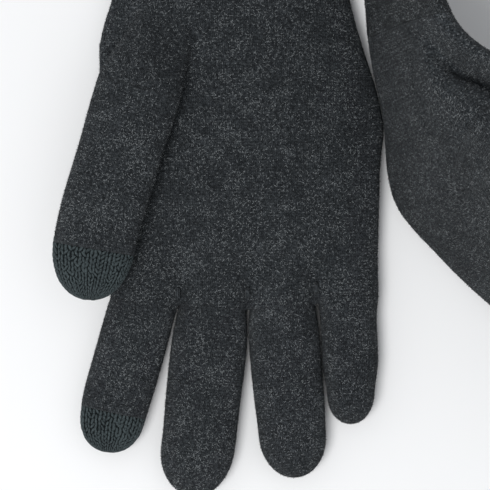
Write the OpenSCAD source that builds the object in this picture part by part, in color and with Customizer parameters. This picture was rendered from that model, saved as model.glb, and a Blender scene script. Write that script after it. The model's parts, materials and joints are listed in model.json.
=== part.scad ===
// A pair of brushed knit touchscreen gloves. The right glove lies flat, palm up, with its
// thumb folded over the palm. The left glove lies beside it, rolled up on its little-finger
// side with its cuff bent back. Each finger stall folds towards the palm on its own hinge.
//
// Glove coordinates: a runs towards the thumb, b towards the cuff and c out of the palm.
// The left glove is built in them and laid in its place. The right glove is the mirror image.

/* [Hand] */
// Length from the finger roots to the wrist
palm_l = 124; // [112:1:136]
// Width of the palm across the knuckles
palm_w = 103; // [90:1:104]
// Thickness of the hand, laid flat
palm_t = 16; // [14:0.5:18]
// Width of the hand where the cuff starts
wrist_w = 86; // [78:1:90]
// Thickness of the knit
wall = 2; // [1.4:0.1:2.4]

/* [Cuff] */
// Length of the ribbed cuff
cuff_l = 66; // [40:1:80]
// Width of the cuff at its middle
cuff_w = 78; // [72:1:84]
// Thickness of the cuff, laid flat
cuff_t = 14; // [12:0.5:16]
// Length of the bound edge at the mouth of the cuff
edge_l = 4; // [3:0.5:6]

/* [Fingers] */
// Thickness of a finger stall, laid flat
finger_t = 13; // [11:0.5:14]
// Length of the index stall
index_l = 55; // [48:1:64]
// Length of the middle stall
middle_l = 70; // [60:1:80]
// Length of the ring stall
ring_l = 63; // [54:1:72]
// Length of the little stall
little_l = 47; // [40:1:54]
// Length of the conductive knit at the end of the index stall
index_tip_l = 16; // [12:1:20]

/* [Thumb] */
// Length of the thumb stall
thumb_l = 79; // [70:1:82]
// Width of the thumb stall
thumb_w = 31.5; // [28:0.5:33]
// Length of the conductive knit at the end of the thumb stall
thumb_tip_l = 19.5; // [14:0.5:24]
// Angle that the left thumb stands off its palm
left_thumb_lift = 30; // [20:1:36]

/* [Left glove] */
// How far the left hand is rolled onto its little-finger side
hand_roll = 56; // [50:1:60]
// How far the left hand is turned
hand_yaw = 45; // [42:1:47]
// How far the left cuff is rolled
cuff_roll = 78; // [70:1:82]
// How far the left cuff is turned
cuff_yaw = 9; // [6:1:10]

/* [Hidden] */

gap = 0.6;                       // clearance at every hinge and between neighbouring stalls
root_b = -40;                    // where the finger stalls start
wrist_b = root_b + palm_l;
mouth_b = wrist_b + cuff_l;
wrist_a = 5;                     // the wrist sits a little to the thumb side
ring_points = 24;                // points round one knit tube
roundness = 2.5;                 // 2 is an ellipse, more is boxier
flat_share = 0.9;                // how deep the flat underside cuts into the section
slices = 24;                     // steps along a whole stall's middle line

// Finger stalls: root centre, heading at the root and at the tip, width at the root,
// in the middle and near the tip, and length. Headings lean towards the thumb.
index = [[38.3, root_b], 15.5, 7, [24.8, 24.8, 24.8], index_l];
middle = [[11.8, root_b], 6.3, 8.5, [24.6, 26.6, 26.6], middle_l];
third = [[-13.7, root_b], -4.8, -4.8, [24.4, 25.4, 25], ring_l];
little = [[-38.2, root_b + 4], -1.5, -1, [23.2, 21, 18.4], little_l];
// The thumb stall lies above the palm
thumb_stall = [[39, 40], 16.5, 4, [thumb_w, thumb_w + 1, thumb_w - 1], thumb_l];
thumb_base = 15;                 // height of the thumb's underside
left_thumb_shift = [-6, 0, 5];   // the left thumb's root stands fuller off its palm
turn_start = 0.55;               // a stall's heading starts to change here
turn_end = 0.95;
cap_start = 0.74;                // a stall's rounded end starts here
cap_roundness = 2.3;             // 2 is an ellipse
end_share = 0.08;                // the last ring of a stall, as a share of its width
end_lift = 0.45;                 // how far the thinning end rises to the stall's middle

// Left glove: where its palm's centre lies, and where its wrist starts and stops bending
left_at = [109.2, -6];
bend_start = 34;
bend_end = wrist_b;
roll_end = 66;                   // the roll settles before the turn does
left_height = 40.5;

body_colour = [0.17, 0.19, 0.20];
cuff_colour = [0.15, 0.17, 0.18];
tip_colour = [0.18, 0.22, 0.23];
trim_colour = [0.12, 0.13, 0.14];
label_colour = [0.80, 0.80, 0.78];

function smooth(x) = let (t = min(1, max(0, x))) t * t * (3 - 2 * t);
function mix(a, b, t) = a + (b - a) * t;
function power(x, n) = sign(x) * pow(abs(x), n);

// Half a thickness as the section needs it: the flat underside takes some away
function half_of(t) = t / (1 + flat_share);

// One ring of a knit tube as [across, up] pairs, resting on up = 0
function section(w, t) = [
    for (i = [0:ring_points - 1])
        let (q = 360 * (i + 0.5) / ring_points,
             h = half_of(t),
             up = h * power(sin(q), 2 / roundness))
        [w / 2 * power(cos(q), 2 / roundness), max(up, -flat_share * h) + flat_share * h]];

// Skin a list of rings into one closed solid
module loft(rings) {
    n = len(rings[0]);
    m = len(rings);
    polyhedron(
        points = [for (r = rings) for (p = r) p],
        faces = concat(
            [[for (i = [0:n - 1]) i]],
            [for (j = [0:m - 2]) for (i = [0:n - 1])
                [j * n + i, (j + 1) * n + i, (j + 1) * n + (i + 1) % n]],
            [for (j = [0:m - 2]) for (i = [0:n - 1])
                [j * n + i, (j + 1) * n + (i + 1) % n, j * n + (i + 1) % n]],
            [[for (i = [n - 1:-1:0]) (m - 1) * n + i]]),
        convexity = 6);
}

// ---- where the gloves lie ----

// Turn of the left glove's middle line and its roll, along b
function yaw_at(b) = mix(hand_yaw, cuff_yaw, min(1, max(0, (b - bend_start) / (bend_end - bend_start))));
function roll_at(b) = mix(hand_roll, cuff_roll, smooth((b - bend_start) / (roll_end - bend_start)));
function heading(yaw) = [-sin(yaw), cos(yaw)];

// The middle line: straight, an arc over the wrist, and straight again
arc_r = (bend_end - bend_start) * 180 / PI / (hand_yaw - cuff_yaw);
arc_from = left_at + bend_start * heading(hand_yaw);
function arc_point(yaw) =
    arc_from + arc_r * [cos(hand_yaw) - cos(yaw), sin(hand_yaw) - sin(yaw)];
function line_at(b) =
    b < bend_start ? left_at + b * heading(hand_yaw)
    : b < bend_end ? arc_point(yaw_at(b))
    : arc_point(cuff_yaw) + (b - bend_end) * heading(cuff_yaw);

function lay_left(p) =
    let (yaw = yaw_at(p.y), roll = roll_at(p.y), mid = line_at(p.y),
         side = p.x * cos(roll) - p.z * sin(roll),
         up = p.x * sin(roll) + p.z * cos(roll))
    [mid.x + side * cos(yaw), mid.y + side * sin(yaw), up + left_height];

// A tube given in glove coordinates, which follows the bend of the left wrist
module knit_tube(side, rings) {
    if (side == "right") mirror([1, 0, 0]) loft(rings);
    else loft([for (r = rings) [for (p = r) lay_left(p)]]);
}

// Rigid pieces of the hand, ahead of the wrist
module in_hand(side) {
    if (side == "right") mirror([1, 0, 0]) children();
    else translate([left_at.x, left_at.y, left_height]) rotate([0, 0, hand_yaw])
        rotate([0, -hand_roll, 0]) children();
}

// Rigid pieces of the cuff, behind the wrist
module in_cuff(side) {
    if (side == "right") mirror([1, 0, 0]) children();
    else translate([arc_point(cuff_yaw).x, arc_point(cuff_yaw).y, left_height])
        rotate([0, 0, cuff_yaw]) rotate([0, -cuff_roll, 0])
            translate([0, -bend_end, 0]) children();
}

// ---- the hand ----

// Half widths to the little-finger side and to the thumb side, along b
function little_side(b) =
    let (k = smooth((b - 24) / (wrist_b - 24)))
    mix(palm_w / 2 + 0.2 - 1.5 * smooth(-b / 36), wrist_w / 2 - wrist_a, k);
function thumb_side(b) = mix(palm_w / 2, wrist_w / 2 + wrist_a, smooth((b - 54) / (wrist_b - 54)));
function hand_t(b) =
    mix(mix(palm_t, finger_t, smooth(-b / 36)), cuff_t, smooth((b - 40) / (wrist_b - 40)));

// The palm gives way under the folded thumb
press_share = 0.25;
press_from = 12;
press_w = 35;
press_l = 30;
function press_at(a, b) =
    1 - press_share * smooth((a - press_from) / press_w) * smooth((wrist_b - b) / press_l);

function hand_ring(b, inset) =
    let (left = little_side(b) - inset, right = thumb_side(b) - inset, t = hand_t(b))
    [for (p = section(left + right, t - 2 * inset))
        let (a = p.x + (right - left) / 2)
        [a, b, p.y * (p.y > t / 2 ? press_at(a, b) : 1) + inset]];

// Rings run towards the fingers, here and in every tube
hand_steps = 12;
function hand_rings(inset, over) = [
    for (k = [0:hand_steps]) hand_ring(mix(wrist_b, root_b - 8, k / hand_steps)
        + (k == 0 ? over : k == hand_steps ? -over : 0), inset)];

// ---- stalls ----

function stall_turn(stall, s) =
    mix(stall[1], stall[2], smooth((s - turn_start) / (turn_end - turn_start)));
function stall_mid(stall, s) =
    let (n = max(1, ceil(slices * abs(s))), step = s / n)
    stall[0] + stall[4] * step * walk(stall, step, n);
function walk(stall, step, n, i = 0, at = [0, 0]) =
    i == n ? at
    : walk(stall, step, n, i + 1,
        at + [sin(stall_turn(stall, (i + 0.5) * step)), -cos(stall_turn(stall, (i + 0.5) * step))]);

function stall_w(stall, s) =
    s < 0.5 ? mix(stall[3][0], stall[3][1], smooth(2 * s))
    : mix(stall[3][1], stall[3][2], smooth((s - 0.5) / 0.3));
function cap(s) =
    s < cap_start ? 1
    : pow(max(0, 1 - pow((s - cap_start) / (1 - cap_start), cap_roundness)), 1 / cap_roundness);

// One ring at share s of the stall's length, standing on height base
function stall_ring(stall, s, inset, base) =
    let (turn = stall_turn(stall, s), mid = stall_mid(stall, s), l = stall[4],
         k = max(end_share, cap(min(1, s * l / (l - inset)))),
         w = (stall_w(stall, s) - 2 * inset) * k,
         t = (finger_t - 2 * inset) * mix(k, 1, 0.1),
         lift = base + (finger_t - t) * end_lift)
    [for (p = section(w, t))
        [mid.x + p.x * cos(turn), mid.y + p.x * sin(turn), lift + p.y]];

// Steps grow closer towards the rounded end
function stall_steps(from, to, n) = [for (k = [0:n]) from + (to - from) * sin(90 * k / n)];

// A length of stall between two shares of its length; a closed one holds the fingertip
module stall_shell(stall, from, to, n, base, closed) {
    l = stall[4];
    difference() {
        loft([for (s = stall_steps(from, to, n)) stall_ring(stall, s, 0, base)]);
        loft([for (s = stall_steps(from - 1 / l, closed ? 1 - wall / l : to + 1 / l, n))
            stall_ring(stall, s, wall, base)]);
    }
}

module finger_stall(side, stall) {
    in_hand(side) stall_shell(stall, gap / 2 / stall[4], 1, 11, 0, true);
}

// Everything ahead of a stall's root, so that the hand ends in a face along each root
cut_l = 40;
cut_side = 1.4;
cut_under = 4;
cut_over = 8;
module ahead_of(stall) {
    w = stall[3][0] + 2 * cut_side;
    translate([stall[0].x, stall[0].y, 0]) rotate([0, 0, stall[1]])
        translate([-w / 2, gap / 2 - cut_l, -cut_under])
            cube([w, cut_l, cut_under + finger_t + cut_over]);
}

// The thumb stall's root, which swells out of the palm from the wrist
root_reach = 32;
left_root_reach = 39;            // the left one starts nearer the wrist, to fill out its fold
root_start = 7;                  // its thickness and its height where it leaves the palm
root_start_w = 20;
root_lean = 3;
root_steps = 6;
function root_ring(r, inset, reach) =
    let (k = smooth(1 - r / reach), turn = thumb_stall[1],
         w = mix(root_start_w, thumb_w, k) - 2 * inset, t = mix(root_start, finger_t, k) - 2 * inset,
         mid = thumb_stall[0] - [root_lean * (1 - k), 0] - r * [sin(turn), -cos(turn)])
    [for (p = section(w, t))
        [mid.x + p.x * cos(turn), mid.y + p.x * sin(turn),
         mix(root_start, thumb_base, k) + inset + p.y]];

function thumb_shift(side) = side == "left" ? left_thumb_shift : [0, 0, 0];

module thumb_root(side, inset, over) {
    shift = thumb_shift(side);
    reach = side == "left" ? left_root_reach : root_reach;
    loft([for (k = [root_steps:-1:0])
        let (share = k / root_steps)
        [for (p = root_ring(k == 0 ? gap / 2 - over : reach * share, inset, reach))
            p + shift * smooth(1.6 * (1 - share))]]);
}

module hand(side) {
    color(body_colour) difference() {
        union() {
            knit_tube(side, hand_rings(0, 0));
            in_hand(side) thumb_root(side, 0, 0);
        }
        knit_tube(side, hand_rings(wall, 2));
        in_hand(side) {
            thumb_root(side, wall, 2);
            for (stall = [index, middle, third, little]) ahead_of(stall);
        }
    }
}

module index_stall(side) {
    color(body_colour) in_hand(side)
        stall_shell(index, gap / 2 / index_l, 1 - index_tip_l / index_l, 7, 0, false);
}

module index_tip(side) {
    color(tip_colour) in_hand(side)
        stall_shell(index, 1 - index_tip_l / index_l, 1, 8, 0, true);
}

module middle_stall(side) { color(body_colour) finger_stall(side, middle); }
module ring_stall(side) { color(body_colour) finger_stall(side, third); }
module little_stall(side) { color(body_colour) finger_stall(side, little); }

// The thumb turns about a line across its upper edge
module lift_thumb(side) {
    top = [thumb_stall[0].x, thumb_stall[0].y, thumb_base + finger_t];
    lift = side == "left" ? left_thumb_lift : 0;
    translate(top + thumb_shift(side)) rotate([0, 0, thumb_stall[1]]) rotate([-lift, 0, 0])
        rotate([0, 0, -thumb_stall[1]]) translate(-top) children();
}

module thumb(side) {
    color(body_colour) in_hand(side) lift_thumb(side)
        stall_shell(thumb_stall, gap / 2 / thumb_l, 1 - thumb_tip_l / thumb_l, 8, thumb_base, false);
}

module thumb_tip(side) {
    color(tip_colour) in_hand(side) lift_thumb(side)
        stall_shell(thumb_stall, 1 - thumb_tip_l / thumb_l, 1, 8, thumb_base, true);
}

// Knitted bridges between neighbouring stalls, from the back wall to the palm wall
bridge = [2, 4.5];
bridge_behind = 3.2;
module finger_crotches(side) {
    color(body_colour) in_hand(side)
        for (pair = [[index, middle], [middle, third], [third, little]]) {
            at = (pair[0][0] - [pair[0][3][0] / 2, 0] + pair[1][0] + [pair[1][3][0] / 2, 0]) / 2;
            translate([at.x - bridge.x / 2, at.y + bridge_behind, wall])
                cube([bridge.x, bridge.y, finger_t - 2 * wall]);
        }
}

// ---- the cuff ----

settle_l = 14;                   // the cuff narrows from the wrist over this length
flare = 1.5;                     // and widens again towards its mouth
flare_l = 20;
function cuff_half(b) = mix(wrist_w, cuff_w, smooth((b - wrist_b) / settle_l)) / 2
    + flare * smooth((b - mouth_b + flare_l) / flare_l);
function cuff_ring(b, inset) =
    [for (p = section(2 * (cuff_half(b) - inset), cuff_t - 2 * inset))
        [p.x + wrist_a, b, p.y + inset]];

// A length of cuff from b = from to b = to, between the insets out and in
module cuff_tube(side, from, to, n, out, in) {
    steps = [for (k = [0:n]) mix(from, to, k / n)];
    difference() {
        knit_tube(side, [for (b = steps) cuff_ring(b, out)]);
        knit_tube(side, [for (k = [0:n])
            cuff_ring(steps[k] + (k == 0 ? 1 : k == n ? -1 : 0), in)]);
    }
}

module cuff(side) {
    color(cuff_colour) cuff_tube(side, mouth_b - edge_l, wrist_b, 6, 0, wall);
}

// The bound edge is a little fuller than the ribs
edge_extra = 0.4;
module cuff_edge(side) {
    color(cuff_colour) cuff_tube(side, mouth_b, mouth_b - edge_l, 3, 0, wall + edge_extra);
}

// Elastic yarn laid in behind the bound edge, just clear of the ribs
elastic = [1.8, 0.8];            // length and thickness
elastic_behind = 0.4;
elastic_room = 0.2;
module cuff_elastic(side) {
    from = mouth_b - edge_l - elastic_behind;
    out = wall + elastic_room;
    color(trim_colour) cuff_tube(side, from, from - elastic.x, 1, out, out + elastic.y);
}

// A folded blank label sewn to the back of the cuff
label = [14, 20, 0.8];
label_behind = 5;
module care_label(side) {
    color(label_colour) in_cuff(side)
        translate([wrist_a - label.x / 2, mouth_b - edge_l - label_behind - label.y, wall])
            cube(label);
}

hand("right");  // right_hand
thumb("right");  // right_thumb
thumb_tip("right");  // right_thumb_tip
index_stall("right");  // right_index
index_tip("right");  // right_index_tip
middle_stall("right");  // right_middle
ring_stall("right");  // right_ring
little_stall("right");  // right_little
finger_crotches("right");  // right_finger_crotches
cuff("right");  // right_cuff
cuff_edge("right");  // right_cuff_edge
cuff_elastic("right");  // right_cuff_elastic
care_label("right");  // right_care_label
hand("left");  // left_hand
thumb("left");  // left_thumb
thumb_tip("left");  // left_thumb_tip
index_stall("left");  // left_index
index_tip("left");  // left_index_tip
middle_stall("left");  // left_middle
ring_stall("left");  // left_ring
little_stall("left");  // left_little
finger_crotches("left");  // left_finger_crotches
cuff("left");  // left_cuff
cuff_edge("left");  // left_cuff_edge
cuff_elastic("left");  // left_cuff_elastic
care_label("left");  // left_care_label
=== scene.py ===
import json
import math

import bmesh
import bpy
import numpy as np
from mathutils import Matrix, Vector, noise


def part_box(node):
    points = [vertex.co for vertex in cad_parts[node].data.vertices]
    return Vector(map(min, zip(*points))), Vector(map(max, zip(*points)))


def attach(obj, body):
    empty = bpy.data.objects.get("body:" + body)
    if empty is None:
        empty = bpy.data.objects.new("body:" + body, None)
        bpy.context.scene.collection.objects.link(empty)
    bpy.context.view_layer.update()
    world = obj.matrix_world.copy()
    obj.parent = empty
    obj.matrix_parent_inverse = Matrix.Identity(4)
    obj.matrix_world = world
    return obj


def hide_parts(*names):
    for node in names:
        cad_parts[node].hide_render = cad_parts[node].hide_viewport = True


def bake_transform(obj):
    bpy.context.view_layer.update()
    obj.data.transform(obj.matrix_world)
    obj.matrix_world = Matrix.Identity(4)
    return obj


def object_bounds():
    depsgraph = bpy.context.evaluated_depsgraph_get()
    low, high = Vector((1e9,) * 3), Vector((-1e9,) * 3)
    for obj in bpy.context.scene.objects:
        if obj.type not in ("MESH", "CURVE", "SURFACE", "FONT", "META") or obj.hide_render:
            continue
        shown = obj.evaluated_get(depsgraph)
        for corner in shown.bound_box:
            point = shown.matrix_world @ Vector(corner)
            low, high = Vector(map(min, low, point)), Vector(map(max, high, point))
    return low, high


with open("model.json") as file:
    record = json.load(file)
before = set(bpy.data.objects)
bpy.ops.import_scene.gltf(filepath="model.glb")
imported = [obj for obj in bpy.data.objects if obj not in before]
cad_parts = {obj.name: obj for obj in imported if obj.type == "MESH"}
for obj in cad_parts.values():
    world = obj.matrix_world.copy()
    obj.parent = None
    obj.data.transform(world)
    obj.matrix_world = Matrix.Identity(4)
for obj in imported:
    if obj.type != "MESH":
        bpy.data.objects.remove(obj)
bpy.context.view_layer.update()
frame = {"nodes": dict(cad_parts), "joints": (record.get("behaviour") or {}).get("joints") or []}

joints = {j["name"]: j for j in frame["joints"]}
mm = 0.001

# Shapes are worked out in millimetres in glove coordinates, and put in place in metres.
# a runs towards the thumb, b towards the cuff and c out of the palm.


def smooth(x):
    t = np.clip(x, 0, 1)
    return t * t * (3 - 2 * t)


def mix(a, b, t):
    return a + (b - a) * t


def power(x, n):
    return np.sign(x) * np.abs(x) ** n


knit = {
    "wale": 1.45,        # width of one stitch
    "course": 1.05,      # height of one stitch
    "tipWale": 2.7,      # the touch tips are knitted coarser
    "tipCourse": 1.8,
    "wall": 1.8,
    "roundness": 2.5,    # 2 is an ellipse, more is boxier
    "flatShare": 0.9,    # how flat the underside lies
    "wave": 0.5,         # how uneven the cloth lies
    "waveSize": 21,
    "tipGround": 27,     # stitches half way round the ground of a touch tip
    "bandWales": 60,     # and half way round an edge band
}


def ringOf(width, thick, around):  # one knit tube's outline, its points evenly spaced
    q = np.linspace(0, 2 * math.pi, 361)
    half = thick / (1 + knit["flatShare"])
    low = knit["flatShare"] * half
    across = width / 2 * power(np.cos(q), 2 / knit["roundness"])
    up = np.maximum(half * power(np.sin(q), 2 / knit["roundness"]), -low) + low
    gone = np.concatenate([[0], np.cumsum(np.hypot(np.diff(across), np.diff(up)))])
    at = np.linspace(0, gone[-1], around, endpoint=False)
    return np.interp(at, gone, across), np.interp(at, gone, up)


def uneven(points, amount, size):  # soft lumps, the same wherever two pieces meet
    return np.array([noise.noise(Vector(p / size)) for p in points]) * amount


leftLay = {
    "handRoll": 56, "cuffRoll": 78, "rollEnd": 66, "thumbSideRollEnd": 96,
    "handYaw": 45, "cuffYaw": 9, "bendStart": 34,
    "thumbLift": 30, "liftFrom": -2, "liftOver": 6, "thumbShift": (-6, 0, 5), "shiftRate": 1.6,
    "thumbSideFrom": -5, "thumbSideFade": 25,                       # where that later roll end holds
    "stiffAbove": 12, "stiffRise": 8, "stiffBefore": 72, "stiffFade": 20,
}
fingers = {  # the heading at the tip, and the widths at the root, the middle and near the tip
    "index": {"tipTurn": 7, "widths": (25.1, 25.4, 24.6), "tipLength": 16, "around": 80},
    "middle": {"tipTurn": 8.5, "widths": (24.9, 28.0, 27.0), "tipLength": 0, "around": 80},
    "ring": {"tipTurn": -4.8, "widths": (24.7, 26.6, 24.8), "tipLength": 0, "around": 80},
    "little": {"tipTurn": -1, "widths": (23.4, 21, 18), "tipLength": 0, "around": 80},
    "thumb": {"tipTurn": 4, "widths": (31.5, 31, 30.5), "tipLength": 19.5, "around": 96},
}
stallPlan = {"thick": 13, "turnStart": 0.55, "turnEnd": 0.95, "capStart": 0.74,
             "capRoundness": 2.1, "fullBy": 0.24, "endShare": 0.08, "endLift": 0.45, "bendLength": 13,
             "halfWay": 0.5, "narrowOver": 0.3, "endThick": 0.1,
             "behind": 1.5, "inset": 0.15, "rowsToMm": 1.1, "underTip": 0.8, "bareUnderTip": 1.2,
             "calmEnd": 12, "fuzzFrom": -0.5}


def jointOf(side, finger):
    return joints[f"{side}_{finger}_" + ("lift" if finger == "thumb" else "curl")]


def headingAt(stall, share):
    k = smooth((share - stallPlan["turnStart"]) / (stallPlan["turnEnd"] - stallPlan["turnStart"]))
    return np.radians(mix(stall["rootTurn"], stall["tipTurn"], k))


def midLine(stall, share):  # the stall's middle line for a length of one
    count = 200
    steps = np.linspace(0, 1, count + 1)
    turn = headingAt(stall, (steps[1:] + steps[:-1]) / 2)
    a = np.concatenate([[0], np.cumsum(np.sin(turn))]) / count
    b = np.concatenate([[0], np.cumsum(-np.cos(turn))]) / count
    before = np.minimum(share, 0)
    first = headingAt(stall, np.zeros(1))[0]
    return (np.interp(share, steps, a) + before * math.sin(first),
            np.interp(share, steps, b) - before * math.cos(first))


for name, stall in fingers.items():
    joint = jointOf("right", name)
    x, y, z = joint["pos_m"]
    ax = joint["axis"]
    stall["root"] = (-x / mm, y / mm, z / mm)
    stall["rootTurn"] = math.degrees(math.atan2(ax[1], -ax[0]))
    if abs(stall["rootTurn"]) > 90:
        stall["rootTurn"] -= math.copysign(180, stall["rootTurn"])
    end = f"right_{name}_tip" if f"right_{name}_tip" in frame["nodes"] else f"right_{name}"
    drop = midLine(stall, np.ones(1))[1][0]
    stall["length"] = (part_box(end)[0].y / mm - stall["root"][1]) / drop
    stall["base"] = stall["root"][2] - stallPlan["thick"]

rootB = fingers["middle"]["root"][1]
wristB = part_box("right_cuff")[0].y / mm
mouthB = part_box("right_cuff_edge")[1].y / mm
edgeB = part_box("right_cuff")[1].y / mm


def turned(side, up, yaw, roll):
    yaw, roll = np.radians(yaw), np.radians(roll)
    flat = side * np.cos(roll) - up * np.sin(roll)
    return flat * np.cos(yaw), flat * np.sin(yaw), side * np.sin(roll) + up * np.cos(roll)


def findLeft():  # where the left palm's middle lies, from its middle finger's hinge
    a, b, c = fingers["middle"]["root"]
    x, y, z = turned(a, c, leftLay["handYaw"], leftLay["handRoll"])
    yaw = math.radians(leftLay["handYaw"])
    hinge = np.array(jointOf("left", "middle")["pos_m"]) / mm
    return hinge - np.array([x - b * math.sin(yaw), y + b * math.cos(yaw), z])


leftAt = findLeft()


def place(side, points, bent=True):
    p = np.asarray(points, float)
    a, b, c = p[:, 0], p[:, 1], p[:, 2]
    if side == "right":
        return np.stack([-a, b, c], 1) * mm
    start, yaw0, yaw1 = leftLay["bendStart"], leftLay["handYaw"], leftLay["cuffYaw"]
    x, y, z = turned(a, c, yaw0, leftLay["handRoll"])
    r0 = math.radians(yaw0)
    stiff = leftAt + np.stack([x - b * math.sin(r0), y + b * math.cos(r0), z], 1)
    if not bent:
        return stiff * mm
    share = np.clip((b - start) / (wristB - start), 0, 1)
    yaw = mix(yaw0, yaw1, share)
    rollEnd = mix(leftLay["rollEnd"], leftLay["thumbSideRollEnd"],
                  smooth((a - leftLay["thumbSideFrom"]) / leftLay["thumbSideFade"]))
    roll = mix(leftLay["handRoll"], leftLay["cuffRoll"], smooth((b - start) / (rollEnd - start)))
    radius = (wristB - start) / math.radians(yaw0 - yaw1)
    arc = np.stack([math.cos(r0) - np.cos(np.radians(yaw)), math.sin(r0) - np.sin(np.radians(yaw))], 1)
    ahead = np.minimum(b, start)
    behind = np.maximum(b - wristB, 0)
    r1 = math.radians(yaw1)
    mid = leftAt[:2] + radius * arc
    mid = mid + np.stack([-math.sin(r0) * ahead, math.cos(r0) * ahead], 1)
    mid = mid + np.stack([-math.sin(r1) * behind, math.cos(r1) * behind], 1)
    x, y, z = turned(a, c, yaw, roll)
    bentPoints = np.stack([mid[:, 0] + x, mid[:, 1] + y, z + leftAt[2]], 1)
    k = smooth((c - leftLay["stiffAbove"]) / leftLay["stiffRise"])  # the thumb's root stays with the hand
    k = k * smooth((leftLay["stiffBefore"] - b) / leftLay["stiffFade"])
    return mix(bentPoints, stiff, k[:, None]) * mm


def meshFrom(name, points, faces):
    mesh = bpy.data.meshes.new(name)
    mesh.from_pydata([tuple(p) for p in points], [], faces)
    mesh.update()
    thing = bpy.data.objects.new(name, mesh)
    bpy.context.scene.collection.objects.link(thing)
    return thing


def coords(thing):
    flat = np.empty(len(thing.data.vertices) * 3)
    thing.data.vertices.foreach_get("co", flat)
    return flat.reshape(-1, 3)


def normalsOf(thing):
    flat = np.empty(len(thing.data.vertices) * 3)
    thing.data.vertices.foreach_get("normal", flat)
    return flat.reshape(-1, 3)


def setCoords(thing, points):
    thing.data.vertices.foreach_set("co", np.asarray(points, float).ravel())
    thing.data.update()


def pointValues(thing, name, values):
    values = np.asarray(values, float)
    kind = "FLOAT" if values.ndim == 1 else "FLOAT_VECTOR"
    layer = thing.data.attributes.get(name) or thing.data.attributes.new(name, kind, "POINT")
    layer.data.foreach_set("value" if values.ndim == 1 else "vector", values.ravel())


def backAndForth(around, rows):  # up to 1 and back along each ring, so that the map has no seam
    turn = np.tile(np.arange(around) / around * 2, rows)
    return np.where(turn > 1, 2 - turn, turn)


def knitMap(thing, u, v):  # one unit for each stitch across and along
    layer = thing.data.uv_layers.new(name="knitMap")
    loops = np.empty(len(thing.data.loops), int)
    thing.data.loops.foreach_get("vertex_index", loops)
    layer.data.foreach_set("uv", np.stack([np.asarray(u)[loops], np.asarray(v)[loops]], 1).ravel())


def skin(name, rings, closed=True):  # rings run from the cuff towards the fingertips
    around, rows = len(rings[0]), len(rings)
    points = np.concatenate(rings)
    faces = [(j * around + i, j * around + (i + 1) % around,
              (j + 1) * around + (i + 1) % around, (j + 1) * around + i)
             for j in range(rows - 1) for i in range(around)]
    if closed:
        points = np.concatenate([points, [rings[0].mean(0)], [rings[-1].mean(0)]])
        first, last, top = len(points) - 2, len(points) - 1, (rows - 1) * around
        faces += [(first, (i + 1) % around, i) for i in range(around)]
        faces += [(last, top + i, top + (i + 1) % around) for i in range(around)]
    thing = meshFrom(name, points, faces)
    whole = bmesh.new()
    whole.from_mesh(thing.data)
    if closed and whole.calc_volume(signed=True) < 0:
        thing.data.flip_normals()
    whole.free()
    return thing


def applied(thing, kind, **settings):
    modifier = thing.modifiers.new(kind, kind)
    for key, value in settings.items():
        setattr(modifier, key, value)
    graph = bpy.context.evaluated_depsgraph_get()
    mesh = bpy.data.meshes.new_from_object(thing.evaluated_get(graph), depsgraph=graph)
    thing.modifiers.clear()
    old = thing.data
    thing.data = mesh
    bpy.data.meshes.remove(old)
    return thing


def dropped(thing):
    mesh = thing.data
    bpy.data.objects.remove(thing)
    bpy.data.meshes.remove(mesh)


def joined(name, parts):
    points, faces, first = [], [], 0
    for part in parts:
        points.append(coords(part))
        faces += [tuple(first + v for v in face.vertices) for face in part.data.polygons]
        first += len(points[-1])
        dropped(part)
    return meshFrom(name, np.concatenate(points), faces)


def pointedOut(thing):
    whole = bmesh.new()
    whole.from_mesh(thing.data)
    bmesh.ops.recalc_face_normals(whole, faces=whole.faces)
    whole.to_mesh(thing.data)
    whole.free()


def shaderGroup(name, inputs, outputs):
    group = bpy.data.node_groups.new(name, "ShaderNodeTree")
    for label, kind, value in inputs:
        group.interface.new_socket(label, in_out="INPUT", socket_type=kind).default_value = value
    for label, kind in outputs:
        group.interface.new_socket(label, in_out="OUTPUT", socket_type=kind)
    return group, group.nodes.new("NodeGroupInput"), group.nodes.new("NodeGroupOutput")


def node(tree, kind, values=None, **settings):
    made = tree.nodes.new(kind)
    for key, value in settings.items():
        setattr(made, key, value)
    for key, value in (values or {}).items():
        if isinstance(value, bpy.types.NodeSocket):
            tree.links.new(value, made.inputs[key])
        else:
            made.inputs[key].default_value = value
    return made


def sums(tree, operation, *values):
    return node(tree, "ShaderNodeMath", dict(enumerate(values)), operation=operation).outputs[0]


def buildHeather():  # yarn spun from dark and pale fibres
    group, given, result = shaderGroup("heather", [
        ("Dark", "NodeSocketColor", (0.02, 0.02, 0.02, 1)),
        ("Light", "NodeSocketColor", (0.06, 0.06, 0.06, 1)),
        ("Fibre Scale", "NodeSocketFloat", 900.0),
        ("Patch Scale", "NodeSocketFloat", 70.0),
        ("Depth", "NodeSocketFloat", 0.0),
    ], [("Color", "NodeSocketColor")])
    place3d = node(group, "ShaderNodeTexCoord").outputs["Object"]
    fibre = node(group, "ShaderNodeTexNoise", {"Vector": place3d, "Scale": given.outputs["Fibre Scale"],
                                               "Detail": 3.0, "Roughness": 0.6}).outputs["Fac"]
    patch = node(group, "ShaderNodeTexNoise", {"Vector": place3d, "Scale": given.outputs["Patch Scale"],
                                               "Detail": 2.0}).outputs["Fac"]
    sharp = node(group, "ShaderNodeMapRange", {"Value": fibre, "From Min": 0.36, "From Max": 0.68}).outputs[0]
    soft = sums(group, "MULTIPLY", sums(group, "SUBTRACT", patch, 0.5), 0.5)
    share = sums(group, "ADD", sharp, soft)
    # the Depth input is painted shade: it darkens the fibre mix where the stitches dip
    shadedShare = sums(group, "SUBTRACT", share, given.outputs["Depth"])
    blend = node(group, "ShaderNodeMix", {0: shadedShare, 6: given.outputs["Dark"], 7: given.outputs["Light"]},
                 data_type="RGBA", clamp_factor=True)
    group.links.new(blend.outputs[2], result.inputs["Color"])
    return group


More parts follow.
